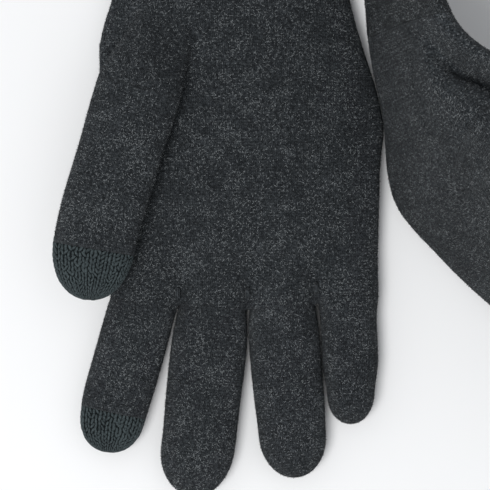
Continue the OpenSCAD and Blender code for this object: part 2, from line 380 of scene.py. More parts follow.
def buildStitchHeight():  # V-shaped stitches, one for each unit of the knit map
    group, given, result = shaderGroup("stitchHeight", [
        ("Slant", "NodeSocketFloat", 0.55), ("Blur", "NodeSocketFloat", 0.3),
    ], [("Height", "NodeSocketFloat")])
    uv = node(group, "ShaderNodeUVMap", uv_map="knitMap").outputs["UV"]
    drift = node(group, "ShaderNodeTexNoise", {"Vector": uv, "Scale": 0.35, "Detail": 2.0}).outputs["Color"]
    moved = node(group, "ShaderNodeVectorMath", {0: drift, 1: (0.9, 0.9, 0)}, operation="MULTIPLY").outputs[0]
    spot = node(group, "ShaderNodeVectorMath", {0: uv, 1: moved}, operation="ADD").outputs[0]
    split = node(group, "ShaderNodeSeparateXYZ", {"Vector": spot})
    fold = sums(group, "PINGPONG", split.outputs["X"], 0.5)
    lean = sums(group, "MULTIPLY", fold, given.outputs["Slant"])
    row = sums(group, "FRACT", sums(group, "ADD", split.outputs["Y"], sums(group, "MULTIPLY", lean, 2.0)))
    legs = sums(group, "SINE", sums(group, "MULTIPLY", row, math.pi))
    ribs = sums(group, "SINE", sums(group, "MULTIPLY", fold, 2 * math.pi))
    both = sums(group, "MULTIPLY", legs, ribs)
    grain = node(group, "ShaderNodeTexNoise", {"Vector": uv, "Scale": 2.2, "Detail": 3.0}).outputs["Fac"]
    shown = sums(group, "MULTIPLY", both, sums(group, "SUBTRACT", 1.0, given.outputs["Blur"]))
    fuzzy = sums(group, "MULTIPLY", grain, given.outputs["Blur"])
    group.links.new(sums(group, "ADD", shown, fuzzy), result.inputs["Height"])
    return group


heather = buildHeather()
stitchHeight = buildStitchHeight()
print("shader groups ready")


def knitMaterial(name, look):
    material = bpy.data.materials.new(name)
    material.use_nodes = True
    tree = material.node_tree
    surface = tree.nodes["Principled BSDF"]
    height = node(tree, "ShaderNodeGroup", node_tree=stitchHeight)
    height.inputs["Slant"].default_value = look["slant"]
    height.inputs["Blur"].default_value = look["blur"]
    # painted shade: the base colour darkens in the low parts of the stitch height, scaled by the look's shade
    stitchShade = sums(tree, "MULTIPLY", sums(tree, "SUBTRACT", 0.6, height.outputs["Height"]), look["shade"])
    yarn = node(tree, "ShaderNodeGroup", node_tree=heather)
    yarn.inputs["Dark"].default_value = (*look["dark"], 1)
    yarn.inputs["Light"].default_value = (*look["light"], 1)
    yarn.inputs["Fibre Scale"].default_value = look["fibreScale"]
    tree.links.new(stitchShade, yarn.inputs["Depth"])
    tree.links.new(yarn.outputs["Color"], surface.inputs["Base Color"])
    bump = node(tree, "ShaderNodeBump", {"Height": height.outputs["Height"], "Strength": look["strength"],
                                         "Distance": look["relief"] * mm})
    tree.links.new(bump.outputs["Normal"], surface.inputs["Normal"])
    surface.inputs["Roughness"].default_value = look["roughness"]
    surface.inputs["Specular IOR Level"].default_value = look["gloss"]
    surface.inputs["Sheen Weight"].default_value = look["sheen"]
    surface.inputs["Sheen Roughness"].default_value = 0.6
    return material


def plainFibre(name, colour):
    material = bpy.data.materials.new(name)
    material.use_nodes = True
    surface = material.node_tree.nodes["Principled BSDF"]
    surface.inputs["Base Color"].default_value = (*colour, 1)
    surface.inputs["Roughness"].default_value = 0.85
    surface.inputs["Specular IOR Level"].default_value = 0.2
    return material


looks = {
    "brushedKnit": {"dark": (0.008, 0.010, 0.012), "light": (0.060, 0.068, 0.074), "fibreScale": 1100,
                    "slant": 0.55, "blur": 0.45, "shade": 0.9, "strength": 1.0, "relief": 0.7,
                    "roughness": 0.95, "gloss": 0.12, "sheen": 0.06},
    "ribKnit": {"dark": (0.008, 0.010, 0.011), "light": (0.056, 0.063, 0.068), "fibreScale": 1100,
                "slant": 0.6, "blur": 0.25, "shade": 0.9, "strength": 1.0, "relief": 0.7,
                "roughness": 0.93, "gloss": 0.12, "sheen": 0.06},
    "touchKnit": {"dark": (0.014, 0.021, 0.023), "light": (0.056, 0.074, 0.078), "fibreScale": 1500,
                  "slant": 0.6, "blur": 0.9, "shade": 0.1, "strength": 0.3, "relief": 0.12,
                  "roughness": 0.75, "gloss": 0.25, "sheen": 0.03},
    "touchGround": {"dark": (0.005, 0.007, 0.008), "light": (0.018, 0.024, 0.026), "fibreScale": 1500,
                    "slant": 0.6, "blur": 0.2, "shade": 0.4, "strength": 0.6, "relief": 0.3,
                    "roughness": 0.9, "gloss": 0.1, "sheen": 0.0},
    "elasticYarn": {"dark": (0.008, 0.009, 0.010), "light": (0.024, 0.027, 0.030), "fibreScale": 1500,
                    "slant": 0.9, "blur": 0.1, "shade": 0.5, "strength": 0.8, "relief": 0.3,
                    "roughness": 0.7, "gloss": 0.35, "sheen": 0.0},
    "labelTape": {"dark": (0.50, 0.50, 0.47), "light": (0.66, 0.66, 0.62), "fibreScale": 2500,
                  "slant": 0.1, "blur": 0.1, "shade": 0.3, "strength": 0.3, "relief": 0.1,
                  "roughness": 0.45, "gloss": 0.5, "sheen": 0.1},
}
materials = {name: knitMaterial(name, look) for name, look in looks.items()}
fibreTones = [plainFibre("fibreDark", (0.007, 0.009, 0.011)),
              plainFibre("fibreMid", (0.029, 0.034, 0.038)),
              plainFibre("fibreLight", (0.178, 0.191, 0.196))]
print("materials ready")


def geometryTree(name, inputs):
    tree = bpy.data.node_groups.new(name, "GeometryNodeTree")
    tree.interface.new_socket("Geometry", in_out="INPUT", socket_type="NodeSocketGeometry")
    tree.interface.new_socket("Geometry", in_out="OUTPUT", socket_type="NodeSocketGeometry")
    for label, kind, value in inputs:
        socket = tree.interface.new_socket(label, in_out="INPUT", socket_type=kind)
        if value is not None:
            socket.default_value = value
    return tree, tree.nodes.new("NodeGroupInput"), tree.nodes.new("NodeGroupOutput")


def named(tree, name, kind="FLOAT"):
    return node(tree, "GeometryNodeInputNamedAttribute", {"Name": name}, data_type=kind).outputs["Attribute"]


def grown(base, tree, values, name):
    modifier = base.modifiers.new(tree.name, "NODES")
    modifier.node_group = tree
    for socket in tree.interface.items_tree:
        if socket.item_type == "SOCKET" and socket.in_out == "INPUT" and socket.name in values:
            modifier[socket.identifier] = values[socket.name]
    graph = bpy.context.evaluated_depsgraph_get()
    mesh = bpy.data.meshes.new_from_object(base.evaluated_get(graph), depsgraph=graph)
    base.modifiers.remove(modifier)
    mesh.name = name
    thing = bpy.data.objects.new(name, mesh)
    bpy.context.scene.collection.objects.link(thing)
    return thing


fuzzPlan = {"length": 0.85, "width": 0.16, "bend": 0.08, "density": 4.0e6, "midFrom": 0.44, "lightFrom": 0.80,
            "clearOfFloor": 0.5, "floorFade": 1.5, "seamFade": 0.8}


def buildFuzzTree():
    tree, given, result = geometryTree("brushedFuzz", [
        ("Strand", "NodeSocketObject", None), ("Density", "NodeSocketFloat", 2e6),
        ("Tilt Low", "NodeSocketFloat", 1.1), ("Tilt High", "NodeSocketFloat", 1.6),
        ("Seed", "NodeSocketInt", 1), ("Patch Scale", "NodeSocketFloat", 130.0),
        ("Patchiness", "NodeSocketFloat", 0.9), ("Dark", "NodeSocketMaterial", None),
        ("Mid", "NodeSocketMaterial", None), ("Light", "NodeSocketMaterial", None),
    ])
    density = sums(tree, "MULTIPLY", named(tree, "fuzz"), given.outputs["Density"])
    spots = node(tree, "GeometryNodeDistributePointsOnFaces",
                 {"Mesh": given.outputs["Geometry"], "Density": density, "Seed": given.outputs["Seed"]})
    spin = node(tree, "FunctionNodeRandomValue", {2: 0.0, 3: 2 * math.pi, "Seed": 11}).outputs[1]
    tilt = node(tree, "FunctionNodeRandomValue",
                {2: given.outputs["Tilt Low"], 3: given.outputs["Tilt High"], "Seed": 12}).outputs[1]
    turn = spots.outputs["Rotation"]
    for axis, amount in (("Z", spin), ("X", tilt)):
        part = node(tree, "ShaderNodeCombineXYZ", {axis: amount}).outputs[0]
        euler = node(tree, "FunctionNodeEulerToRotation", {0: part}).outputs[0]
        turn = node(tree, "FunctionNodeRotateRotation", {0: turn, 1: euler},
                    rotation_space="LOCAL").outputs[0]
    size = node(tree, "FunctionNodeRandomValue", {2: 0.6, 3: 1.25, "Seed": 13}).outputs[1]
    strand = node(tree, "GeometryNodeObjectInfo", {"Object": given.outputs["Strand"]}).outputs["Geometry"]
    strands = node(tree, "GeometryNodeInstanceOnPoints",
                   {"Points": spots.outputs["Points"], "Instance": strand, "Rotation": turn, "Scale": size})
    pick = node(tree, "FunctionNodeRandomValue", {2: 0.0, 3: 1.0, "Seed": 14}).outputs[1]
    patch = node(tree, "ShaderNodeTexNoise",
                 {"Scale": given.outputs["Patch Scale"], "Detail": 2.0}).outputs["Fac"]
    patch = sums(tree, "SUBTRACT", patch, 0.5)
    pick = sums(tree, "MULTIPLY_ADD", patch, given.outputs["Patchiness"], pick)
    toned = node(tree, "GeometryNodeStoreNamedAttribute",
                 {"Geometry": strands.outputs[0], "Name": "tone", "Value": pick},
                 data_type="FLOAT", domain="INSTANCE").outputs[0]
    flow = node(tree, "GeometryNodeRealizeInstances", {"Geometry": toned}).outputs[0]
    flow = node(tree, "GeometryNodeSetMaterial",
                {"Geometry": flow, "Material": given.outputs["Dark"]}).outputs[0]
    for label, share in (("Mid", fuzzPlan["midFrom"]), ("Light", fuzzPlan["lightFrom"])):
        chosen = node(tree, "FunctionNodeCompare", {0: named(tree, "tone"), 1: share},
                      data_type="FLOAT", operation="GREATER_THAN").outputs[0]
        flow = node(tree, "GeometryNodeSetMaterial", {"Geometry": flow, "Selection": chosen,
                                                      "Material": given.outputs[label]}).outputs[0]
    tree.links.new(flow, result.inputs["Geometry"])
    return tree


def buildStitchTree():
    tree, given, result = geometryTree("seatedStitches", [
        ("Stitch", "NodeSocketObject", None), ("Material", "NodeSocketMaterial", None)])
    turn = node(tree, "FunctionNodeAlignRotationToVector", {"Vector": named(tree, "up", "FLOAT_VECTOR")},
                axis="Z").outputs[0]
    turn = node(tree, "FunctionNodeAlignRotationToVector",
                {"Rotation": turn, "Vector": named(tree, "along", "FLOAT_VECTOR")},
                axis="Y", pivot_axis="Z").outputs[0]
    stitch = node(tree, "GeometryNodeObjectInfo", {"Object": given.outputs["Stitch"]}).outputs["Geometry"]
    seated = node(tree, "GeometryNodeInstanceOnPoints",
                  {"Points": given.outputs["Geometry"], "Instance": stitch, "Rotation": turn,
                   "Scale": named(tree, "fit", "FLOAT_VECTOR")}).outputs[0]
    flow = node(tree, "GeometryNodeRealizeInstances", {"Geometry": seated}).outputs[0]
    flow = node(tree, "GeometryNodeSetMaterial",
                {"Geometry": flow, "Material": given.outputs["Material"]}).outputs[0]
    tree.links.new(flow, result.inputs["Geometry"])
    return tree


def buildRibTree():
    tree, given, result = geometryTree("cuffRibs", [
        ("Ribs", "NodeSocketInt", 30), ("Depth", "NodeSocketFloat", 0.0011),
        ("Material", "NodeSocketMaterial", None)])
    phase = sums(tree, "MULTIPLY", named(tree, "turnShare"), given.outputs["Ribs"])
    crest = sums(tree, "COSINE", sums(tree, "MULTIPLY", phase, 2 * math.pi))
    shape = node(tree, "ShaderNodeMapRange",
                 {"Value": crest, "From Min": -0.7, "From Max": 0.7, "To Min": -1.0, "To Max": 0.0},
                 interpolation_type="SMOOTHSTEP").outputs[0]
    push = sums(tree, "MULTIPLY", shape, given.outputs["Depth"])
    push = sums(tree, "MULTIPLY", push, named(tree, "ribShare"))
    normal = node(tree, "GeometryNodeInputNormal").outputs[0]
    offset = node(tree, "ShaderNodeVectorMath", {0: normal, "Scale": push}, operation="SCALE").outputs[0]
    flow = node(tree, "GeometryNodeSetPosition",
                {"Geometry": given.outputs["Geometry"], "Offset": offset}).outputs[0]
    flow = node(tree, "GeometryNodeRealizeInstances", {"Geometry": flow}).outputs[0]
    flow = node(tree, "GeometryNodeSetMaterial",
                {"Geometry": flow, "Material": given.outputs["Material"]}).outputs[0]
    tree.links.new(flow, result.inputs["Geometry"])
    return tree


fuzzTree, stitchTree, ribTree = buildFuzzTree(), buildStitchTree(), buildRibTree()


def makeStrand():  # a bent, pointed ribbon of three triangles
    half, length, bend = fuzzPlan["width"] / 2, fuzzPlan["length"], fuzzPlan["bend"]
    waist, sag = half * 0.7, bend * 0.3
    points = [(-half, 0, 0), (half, 0, 0), (-waist, sag, length / 2), (waist, sag, length / 2),
              (0, bend, length)]
    return meshFrom("strand", np.array(points) * mm, [(0, 1, 3, 2), (2, 3, 4)])


def makeStitch():  # the two slanted legs of one plain stitch, each a small rounded bead
    plan = {"sides": 7, "rows": 6, "thick": 0.205, "low": 0.17, "high": 0.34, "length": 1.28, "depth": 1.05,
            "endFrom": 0.1, "endTo": 0.9, "roundness": 0.6, "tilt": 0.1}
    points, faces = [], []
    sides, rows = plan["sides"], plan["rows"]
    for lean in (-1, 1):
        first = len(points)
        for k in range(rows):
            t = k / (rows - 1)
            swell = math.sin(math.pi * mix(plan["endFrom"], plan["endTo"], t))
            thick = plan["thick"] * swell ** plan["roundness"]
            for i in range(sides):
                q = 2 * math.pi * i / sides
                points.append((lean * mix(plan["low"], plan["high"], t) + thick * math.cos(q),
                               (t - 0.5) * plan["length"],
                               thick * plan["depth"] * math.sin(q) + plan["tilt"] * (0.5 - t)))
        for k in range(rows - 1):
            for i in range(sides):
                low, up = first + k * sides, first + (k + 1) * sides
                faces.append((low + i, up + i, up + (i + 1) % sides, low + (i + 1) % sides))
        faces.append(tuple(first + i for i in range(sides)))
        faces.append(tuple(first + (rows - 1) * sides + i for i in reversed(range(sides))))
    stitch = meshFrom("stitch", points, faces)
    pointedOut(stitch)
    stitch.data.shade_smooth()
    return stitch


strand, stitch = makeStrand(), makeStitch()
seeds = iter(range(101, 200))


def fuzzOn(base, name):
    return grown(base, fuzzTree, {"Strand": strand, "Density": fuzzPlan["density"], "Seed": next(seeds),
                                  "Dark": fibreTones[0], "Mid": fibreTones[1], "Light": fibreTones[2]}, name)


def seated(name, points, up, along, fit, material):
    seats = meshFrom("seats", points, [])
    pointValues(seats, "up", up)
    pointValues(seats, "along", along)
    pointValues(seats, "fit", fit)
    thing = grown(seats, stitchTree, {"Stitch": stitch, "Material": material}, name)
    dropped(seats)
    return thing


def offFloor(world):  # no fuzz where the glove lies on something
    return smooth((world[:, 2] / mm - fuzzPlan["clearOfFloor"]) / fuzzPlan["floorFade"])


def stallRings(stall, lengths, inset, around):
    share = lengths / stall["length"]
    a, b = midLine(stall, share)
    turn = headingAt(stall, share)
    over = np.clip((share - stallPlan["capStart"]) / (1 - stallPlan["capStart"]), 0, 1)
    cap = np.maximum(1 - over ** stallPlan["capRoundness"], 0) ** (1 / stallPlan["capRoundness"])
    cap = np.maximum(cap, stallPlan["endShare"])
    w0, w1, w2 = stall["widths"]
    filled = 1 - (1 - np.clip(share / stallPlan["fullBy"], 0, 1)) ** 2
    width = np.where(share < stallPlan["halfWay"], mix(w0, w1, filled),
                     mix(w1, w2, smooth((share - stallPlan["halfWay"]) / stallPlan["narrowOver"])))
    rings = []
    for k in range(len(lengths)):
        thick = (stallPlan["thick"] - 2 * inset) * mix(cap[k], 1, stallPlan["endThick"])
        lift = stall["base"] + (stallPlan["thick"] - thick) * stallPlan["endLift"]
        across, up = ringOf((width[k] - 2 * inset) * cap[k], thick, around)
        ca, sa = math.cos(turn[k]), math.sin(turn[k])
        rings.append(np.stack([stall["root"][0] + stall["length"] * a[k] + across * ca,
                               stall["root"][1] + stall["length"] * b[k] + across * sa, lift + up], 1))
    return rings


def raiseThumb(side, points):  # the left thumb bends up off its palm over its first stretch
    if side == "right":
        return points
    stall = fingers["thumb"]
    turn = math.radians(stall["rootTurn"])
    ahead = np.array([math.sin(turn), -math.cos(turn), 0])
    root = np.array(stall["root"])
    out = points - root
    r, z = out @ ahead, out[:, 2]
    lift = np.radians(leftLay["thumbLift"]) * smooth((r - leftLay["liftFrom"]) / leftLay["liftOver"])
    moved = out - np.outer(r, ahead) - np.outer(z, [0, 0, 1])
    moved += np.outer(r * np.cos(lift) - z * np.sin(lift), ahead)
    moved += np.outer(r * np.sin(lift) + z * np.cos(lift), [0, 0, 1])
    return moved + root + np.array(leftLay["thumbShift"])


def stallPlace(side, finger, points):
    return place(side, raiseThumb(side, points) if finger == "thumb" else points, bent=False)


def joinBodies(side, finger, *things):
    for thing in things:
        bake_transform(thing)


def finish(thing, material, slotName, *replaced):
    thing.data.materials.clear()
    thing.data.materials.append(materials[material])
    thing.data.shade_smooth()
    if replaced:
        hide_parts(*replaced)


def makeStall(side, finger):
    plan, stall = stallPlan, fingers[finger]
    around, end = stall["around"], stall["length"]
    if stall["tipLength"]:
        end -= stall["tipLength"] - plan["underTip"]
        lengths = np.linspace(-plan["behind"], end, int(end))
    else:
        k = np.linspace(0, 1, int(end * plan["rowsToMm"]))
        lengths = mix(-plan["behind"], end, np.sin(k * math.pi / 2))
    rings = stallRings(stall, lengths, plan["inset"], around)
    local = np.concatenate(rings)
    middles = np.repeat(np.array([r.mean(0) for r in rings]), around, 0)
    outward = local - middles
    outward /= np.linalg.norm(outward, axis=1, keepdims=True)
    fade = np.repeat(smooth((stall["length"] - lengths) / plan["calmEnd"]), around)
    local = local + outward * (uneven(local, knit["wave"], knit["waveSize"]) * fade)[:, None]
    local[:, 2] = np.maximum(local[:, 2], stall["base"])
    world = stallPlace(side, finger, local)
    tube = skin(f"{side}{finger.capitalize()}Knit", list(world.reshape(len(rings), around, 3)))
    wales = round(np.linalg.norm(np.diff(rings[len(rings) // 3], axis=0), axis=1).sum() / knit["wale"])
    u = np.append(backAndForth(around, len(rings)), [0, 0]) * wales / 2
    v = np.concatenate([np.repeat(lengths, around), [lengths[0], lengths[-1]]]) / knit["course"]
    knitMap(tube, u, v)
    shown = np.concatenate([np.repeat(smooth(lengths - plan["fuzzFrom"]), around), [0, 0]])
    if stall["tipLength"]:
        shown[-1] = 0
        shown[:-2] *= np.repeat(lengths < end - plan["bareUnderTip"], around)
    else:
        shown[-1] = 1
    pointValues(tube, "fuzz", shown * offFloor(coords(tube)))
    fuzz = fuzzOn(tube, f"{side}{finger.capitalize()}Fuzz")
    finish(tube, "brushedKnit", "brushed_knit", f"{side}_{finger}")
    joinBodies(side, finger, tube, fuzz)


tipPlan = {"groundInset": 1.0, "groundRows": 24, "inset": 0.62, "behind": 0.2, "lastRow": 0.15,
           "narrow": 0.5, "gather": 3, "lean": 0.11, "scatter": 0.09}


def evenRows(stall, start):  # stitch rows evenly spaced over the rounded end
    fine = np.linspace(start, stall["length"], 400)
    rings = stallRings(stall, fine, tipPlan["inset"], 12)
    half = np.array([np.ptp(r[:, 0]) / 2 for r in rings])
    gone = np.concatenate([[0], np.cumsum(np.hypot(np.diff(fine), np.diff(half)))])
    return np.interp(np.arange(0, gone[-1], knit["tipCourse"]), gone, fine)


def makeTouchTip(side, finger):
    plan, stall = tipPlan, fingers[finger]
    around = stall["around"]
    start = stall["length"] - stall["tipLength"]
    k = np.linspace(0, 1, plan["groundRows"])
    lengths = mix(start, stall["length"], np.sin(k * math.pi / 2))
    rings = stallRings(stall, lengths, plan["groundInset"], around)
    world = stallPlace(side, finger, np.concatenate(rings)).reshape(len(rings), around, 3)
    cap = skin(f"{side}{finger.capitalize()}TipBase", list(world))
    u = np.append(backAndForth(around, len(rings)), [0, 0]) * knit["tipGround"]
    v = np.append(np.repeat(lengths, around), [lengths[0], lengths[-1]]) / knit["course"]
    knitMap(cap, u, v)
    finish(cap, "touchGround", "conductive_knit", f"{side}_{finger}_tip")
    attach(cap, f"{side}_{finger}_stall")
    wales = round(np.linalg.norm(np.diff(rings[0], axis=0), axis=1).sum() / knit["tipWale"])
    rows = np.append(evenRows(stall, start - plan["behind"]), stall["length"] - plan["lastRow"])
    seatRings = stallPlace(side, finger, np.concatenate(stallRings(stall, rows, plan["inset"], wales)))
    seatRings = seatRings.reshape(len(rows), wales, 3)
    sideways = np.roll(seatRings, -1, 1) - np.roll(seatRings, 1, 1)
    along = np.gradient(seatRings, axis=0)
    up = np.cross(sideways, along)
    up /= np.maximum(np.linalg.norm(up, axis=2, keepdims=True), 1e-9)
    out = seatRings - seatRings.mean(1, keepdims=True)
    up *= np.sign((up * out).sum(2, keepdims=True))
    width = np.linalg.norm(sideways, axis=2) / 2
    reach = np.linalg.norm(along, axis=2)
    every = np.where(width.mean(1) > plan["narrow"] * mm, 1, plan["gather"])[:, None]  # fewer at the end
    fit = np.stack([width * every, reach, np.minimum(width * every, reach)], 2)
    chance = np.random.RandomState(len(finger) + wales)  # no two stitches sit quite alike
    along = along + sideways * chance.normal(0, plan["lean"], (len(rows), wales, 1))
    fit = fit * chance.normal(1, plan["scatter"], (len(rows), wales, 1))
    keep = (np.arange(wales)[None, :] % every == 0).ravel()
    stitches = seated(f"{side}{finger.capitalize()}TipStitches", seatRings.reshape(-1, 3)[keep],
                      up.reshape(-1, 3)[keep], along.reshape(-1, 3)[keep], fit.reshape(-1, 3)[keep],
                      materials["touchKnit"])
    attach(stitches, f"{side}_{finger}_stall")


handPlan = {
    "palmWidth": 103, "palmThick": 16, "wristWidth": 86, "wristOff": 5, "cuffThick": 14,
    "pressShare": 0.25, "voxel": 1.0, "smoothing": 6, "pastWrist": 4,
    "rings": 54, "around": 96, "thumbRings": 18, "stubRings": 14, "rootAround": 64,
    "bareBehind": 0.6, "bareAhead": 4, "bareBeside": 1, "bareBelow": 2,  # no fuzz of the hand's under a stall
    "frontFrom": -14, "frontTo": -38, "frontThick": 6, "stubReach": 34,
    "thumbReach": {"right": 34, "left": 41}, "thumbStart": 7, "thumbStartWidth": 20,
    "web": {"right": 0, "left": 9}, "thumbBulge": 3, "bulgeFrom": 30, "bulgeLength": 20,
    "littleExtra": 0.2, "littleIn": {"right": 1.7, "left": 0}, "littleInFrom": 28, "littleInLength": 20,
    "littleNarrowFrom": 24, "thumbNarrowFrom": 54, "cuffThinFrom": 40, "frontThin": 36, "frontNarrow": 5,
    "pressFrom": 12, "pressWidth": 35, "pressLength": 30, "thumbLean": 3,
}


def palmRings(side, around):
    plan = handPlan
    rings = []
    for b in np.linspace(wristB + plan["pastWrist"], plan["frontTo"], plan["rings"]):
        little = mix(plan["palmWidth"] / 2 + plan["littleExtra"], plan["wristWidth"] / 2 - plan["wristOff"],
                     smooth((b - plan["littleNarrowFrom"]) / (wristB - plan["littleNarrowFrom"])))
        little -= plan["littleIn"][side] * smooth((plan["littleInFrom"] - b) / plan["littleInLength"])
        bulge = plan["thumbBulge"] * smooth((b - plan["bulgeFrom"]) / plan["bulgeLength"])
        thumb = mix(plan["palmWidth"] / 2 + bulge, plan["wristWidth"] / 2 + plan["wristOff"],
                    smooth((b - plan["thumbNarrowFrom"]) / (wristB - plan["thumbNarrowFrom"])))
        thick = mix(mix(plan["palmThick"], stallPlan["thick"], smooth(-b / plan["frontThin"])),
                    plan["cuffThick"], smooth((b - plan["cuffThinFrom"]) / (wristB - plan["cuffThinFrom"])))
        front = smooth((plan["frontFrom"] - b) / (plan["frontFrom"] - plan["frontTo"]))
        thin = mix(thick, plan["frontThick"], front)
        across, up = ringOf(little + thumb - plan["frontNarrow"] * front, thin, around)
        a = across + (thumb - little) / 2
        press = 1 - plan["pressShare"] * smooth((a - plan["pressFrom"]) / plan["pressWidth"]) \
            * smooth((wristB - b) / plan["pressLength"])
        up = np.where(up > thin / 2, up * press, up) + (thick - thin) / 2
        rings.append(np.stack([a, np.full(around, b), up], 1))
    return rings


def thumbRootRings(side, around):
    plan, stall = handPlan, fingers["thumb"]
    shift = np.array(leftLay["thumbShift"]) if side == "left" else np.zeros(3)
    turn = math.radians(stall["rootTurn"])
    reach = plan["thumbReach"][side]
    rings = []
    for r in np.linspace(reach, 0, plan["thumbRings"]):
        k = smooth(1 - r / reach)
        web = plan["web"][side] * k  # the cloth below the root fills out its fold
        across, up = ringOf(mix(plan["thumbStartWidth"], stall["widths"][0], k),
                            mix(plan["thumbStart"], stallPlan["thick"], k) + web, around)
        a = stall["root"][0] - plan["thumbLean"] * (1 - k) - r * math.sin(turn) + across * math.cos(turn)
        b = stall["root"][1] + r * math.cos(turn) + across * math.sin(turn)
        lift = mix(plan["thumbStart"], stall["base"], k) - web
        ring = np.stack([a, b, lift + up], 1)
        rings.append(ring + shift * smooth(leftLay["shiftRate"] * (1 - r / reach)))
    return rings


def stubRings(finger, around):
    lengths = np.linspace(-handPlan["stubReach"], 0, handPlan["stubRings"])
    return stallRings(fingers[finger], lengths, 0, around)


def makeHand(side):
    plan = handPlan
    rootAround = plan["rootAround"]
    parts = [skin("part", palmRings(side, plan["around"])), skin("part", thumbRootRings(side, rootAround))]
    parts += [skin("part", stubRings(finger, rootAround)) for finger in ("index", "middle", "ring", "little")]
    hand = joined(f"{side}HandKnit", parts)
    hand = applied(hand, "REMESH", mode="VOXEL", voxel_size=plan["voxel"])
    hand = applied(hand, "SMOOTH", factor=0.5, iterations=plan["smoothing"])
    whole = bmesh.new()
    whole.from_mesh(hand.data)
    bmesh.ops.bisect_plane(whole, geom=whole.verts[:] + whole.edges[:] + whole.faces[:],
                           plane_co=(0, wristB, 0), plane_no=(0, 1, 0), clear_outer=True)
    whole.to_mesh(hand.data)
    whole.free()
    local, normals = coords(hand), normalsOf(hand)
    local = local + normals * uneven(local, knit["wave"], knit["waveSize"])[:, None]
    local[:, 2] = np.maximum(local[:, 2], 0)
    setCoords(hand, place(side, local))
    if side == "right":
        hand.data.flip_normals()
    knitMap(hand, (local[:, 0] + 0.6 * local[:, 2]) / knit["wale"], local[:, 1] / knit["course"])
    shown = smooth((wristB - local[:, 1]) / fuzzPlan["seamFade"])
    for finger in ("index", "middle", "ring", "little", "thumb"):
        stall = fingers[finger]
        turn = math.radians(stall["rootTurn"])
        root = np.array(stall["root"]) + (np.array(leftLay["thumbShift"])
                                          if side == "left" and finger == "thumb" else 0)
        out = local - root
        r = out @ np.array([math.sin(turn), -math.cos(turn), 0])
        beside = np.abs(out @ np.array([math.cos(turn), math.sin(turn), 0]))
        inside = (r > -plan["bareBehind"]) & (r < plan["bareAhead"])
        inside &= beside < stall["widths"][0] / 2 + plan["bareBeside"]
        if finger == "thumb":
            inside &= local[:, 2] > stall["base"] - plan["bareBelow"]
        shown[inside] = 0
    palmward = (normals[:, 2] > 0).astype(float)
    for half, kept in (("Palm", palmward), ("Back", 1 - palmward)):
        pointValues(hand, "fuzz", shown * kept * offFloor(coords(hand)))
        fuzz = fuzzOn(hand, f"{side}{half}Fuzz")
        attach(fuzz, f"{side}_glove")
    hand = applied(hand, "SOLIDIFY", thickness=knit["wall"] * mm, offset=-1)
    finish(hand, "brushedKnit", "brushed_knit", f"{side}_hand")
    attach(hand, f"{side}_glove")


def makeBridges(side):  # short knitted walls at the bottom of the gaps between the stalls
    order = ["index", "middle", "ring", "little"]
    plan = {"width": 2.0, "length": 4.5, "behind": 3.2, "waist": 0.25, "waistFrom": 2, "waistLength": 9,
            "corner": 0.7, "rows": 10, "around": 24}
    bridges = []
    for one, other in zip(order, order[1:]):
        near, far = fingers[one], fingers[other]
        a = (near["root"][0] - near["widths"][0] / 2 + far["root"][0] + far["widths"][0] / 2) / 2
        b = (near["root"][1] + far["root"][1]) / 2 + plan["behind"] + plan["length"] / 2
        q = np.linspace(0, 2 * math.pi, plan["around"], endpoint=False)
        rings = []
        for up in np.linspace(knit["wall"], stallPlan["thick"] - knit["wall"], plan["rows"]):
            waist = 1 - plan["waist"] * math.sin(math.pi * (up - plan["waistFrom"]) / plan["waistLength"])
            rings.append(np.stack([a + plan["width"] / 2 * waist * power(np.cos(q), plan["corner"]),
                                   b + plan["length"] / 2 * waist * power(np.sin(q), plan["corner"]),
                                   np.full(len(q), up)], 1))
        world = place(side, np.concatenate(rings), bent=False).reshape(len(rings), len(q), 3)
        bridges.append(skin("bridge", list(world)))
    thing = joined(f"{side}FingerBridges", bridges)
    where = coords(thing) / mm
    knitMap(thing, where[:, 0] / knit["wale"], where[:, 2] / knit["course"])
    finish(thing, "brushedKnit", "brushed_knit", f"{side}_finger_crotches")
    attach(thing, f"{side}_glove")


cuffPlan = {"width": 78, "thick": 14, "wall": 1.3, "inset": 0.15, "settle": 14,
            "flare": 1.5, "flareLength": 20, "around": 240, "rows": 64, "pastEdge": 0.5,
            "ribs": 30, "ribDepth": 1.15, "ribsFrom": 15, "ribsGrow": 7, "ribFuzz": 0.35,
            "tuck": 2.5, "tuckIn": 1.1, "tuckFrom": 0.5, "tuckOver": 2}  # the end tucked into the hand


def cuffHalf(b):
    plan = cuffPlan
    return mix(handPlan["wristWidth"], plan["width"], smooth((b - wristB) / plan["settle"])) / 2 \
        + plan["flare"] * smooth((b - mouthB + plan["flareLength"]) / plan["flareLength"])


def cuffRing(b, inset, around):
    across, up = ringOf(2 * (cuffHalf(b) - inset), cuffPlan["thick"] - 2 * inset, around)
    return np.stack([across + handPlan["wristOff"], np.full(around, b), up + inset], 1)


